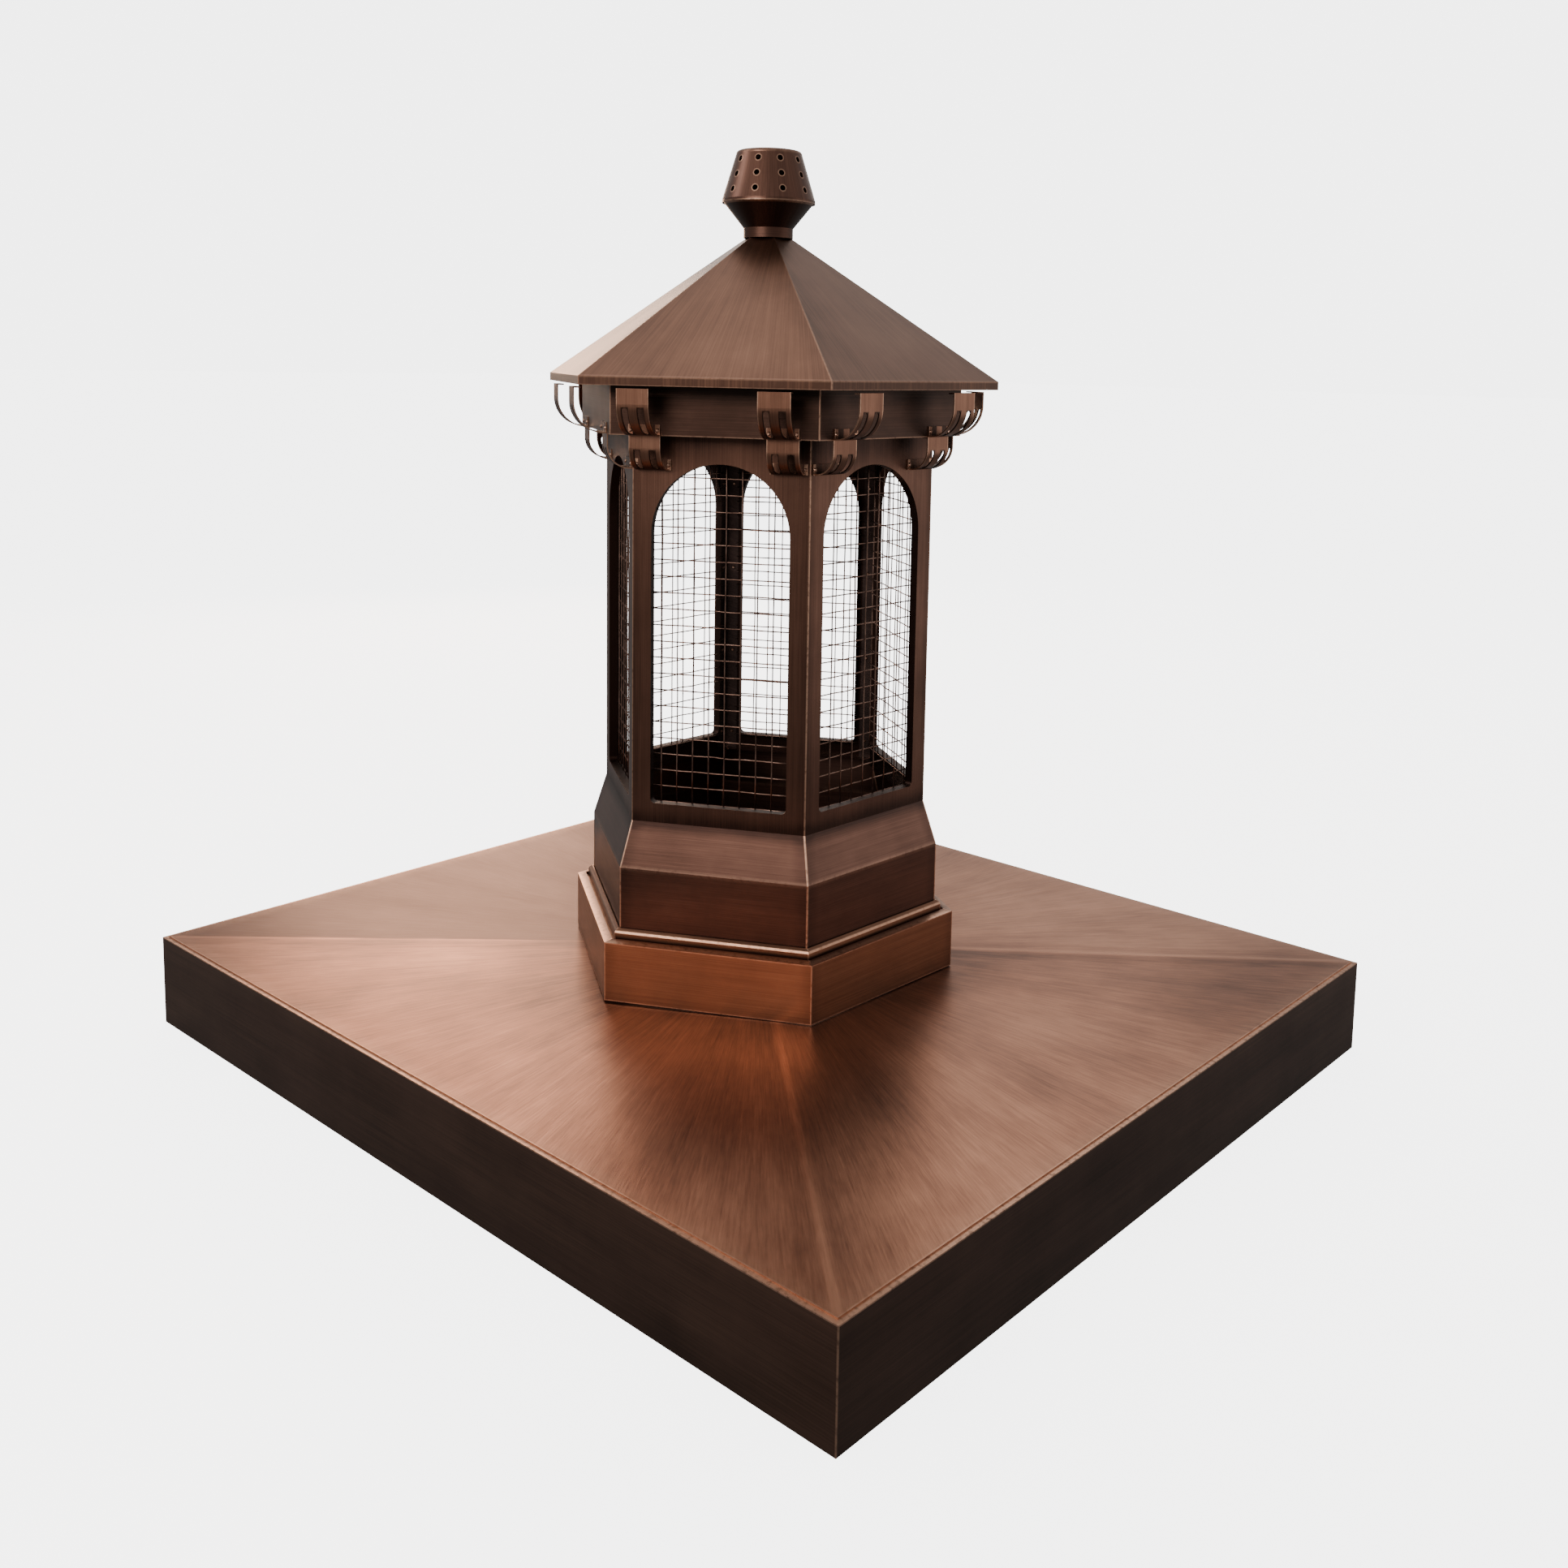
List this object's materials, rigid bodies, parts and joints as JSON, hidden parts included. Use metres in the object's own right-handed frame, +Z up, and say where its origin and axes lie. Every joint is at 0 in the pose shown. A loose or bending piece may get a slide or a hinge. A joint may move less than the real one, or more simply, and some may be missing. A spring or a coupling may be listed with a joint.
{
  "type": "vented chimney cap",
  "caption": "Copper chimney cap: a hexagonal lantern with arched mesh windows, bracketed eaves, hipped roof and perforated finial on a rectangular pan.",
  "frame": {"origin": "middle of the pan, on the plane of the skirt's foot", "axes": "+Z up, +X along the pan's long side, +Y along its short side; the front is the side that faces -Y"},
  "size_m": [1.22, 1.06, 1.1736],
  "materials": {
    "antique_copper": "antique copper, brushed by hand, with worn brighter edges",
    "dark_copper": "dark oxidised copper",
    "wire_copper": "drawn copper wire",
    "bright_copper": "burnished copper rivets and screws"
  },
  "bodies": {
    "base": {"skirt_front": "antique_copper", "skirt_right": "antique_copper", "skirt_back": "antique_copper", "skirt_left": "antique_copper", "skirt_corner_angles": "dark_copper", "pan_deck": "antique_copper", "deck_rib_left": "dark_copper", "deck_rib_right": "dark_copper", "flue_collar": "dark_copper", "plinth_band": "antique_copper", "plinth_moulding": "antique_copper", "plinth_cleats": "dark_copper", "cleat_screws": "bright_copper", "drum_shell": "antique_copper", "window_panel_1": "antique_copper", "window_panel_2": "antique_copper", "window_panel_3": "antique_copper", "window_panel_4": "antique_copper", "window_panel_5": "antique_copper", "window_panel_6": "antique_copper", "mesh_1": "wire_copper", "mesh_2": "wire_copper", "mesh_3": "wire_copper", "mesh_4": "wire_copper", "mesh_5": "wire_copper", "mesh_6": "wire_copper", "cage_corner_angles": "dark_copper", "cage_rivets": "bright_copper", "frieze_band": "antique_copper", "upper_brackets_1": "antique_copper", "upper_brackets_2": "antique_copper", "upper_brackets_3": "antique_copper", "upper_brackets_4": "antique_copper", "upper_brackets_5": "antique_copper", "upper_brackets_6": "antique_copper", "lower_brackets_1": "antique_copper", "lower_brackets_2": "antique_copper", "lower_brackets_3": "antique_copper", "lower_brackets_4": "antique_copper", "lower_brackets_5": "antique_copper", "lower_brackets_6": "antique_copper", "upper_bracket_rivets": "bright_copper", "lower_bracket_rivets": "bright_copper"},
    "roof": {"roof_panel_1": "antique_copper", "roof_panel_2": "antique_copper", "roof_panel_3": "antique_copper", "roof_panel_4": "antique_copper", "roof_panel_5": "antique_copper", "roof_panel_6": "antique_copper", "roof_soffit": "dark_copper", "neck_band": "antique_copper", "neck_throat": "antique_copper", "finial_bowl": "antique_copper", "finial_shade": "antique_copper"}
  },
  "joints": [
    {"name": "roof_lift", "type": "slide", "parent": "base", "child": "roof", "axis": [0, 0, 1], "range_m": [0, 0.2]}
  ]
}
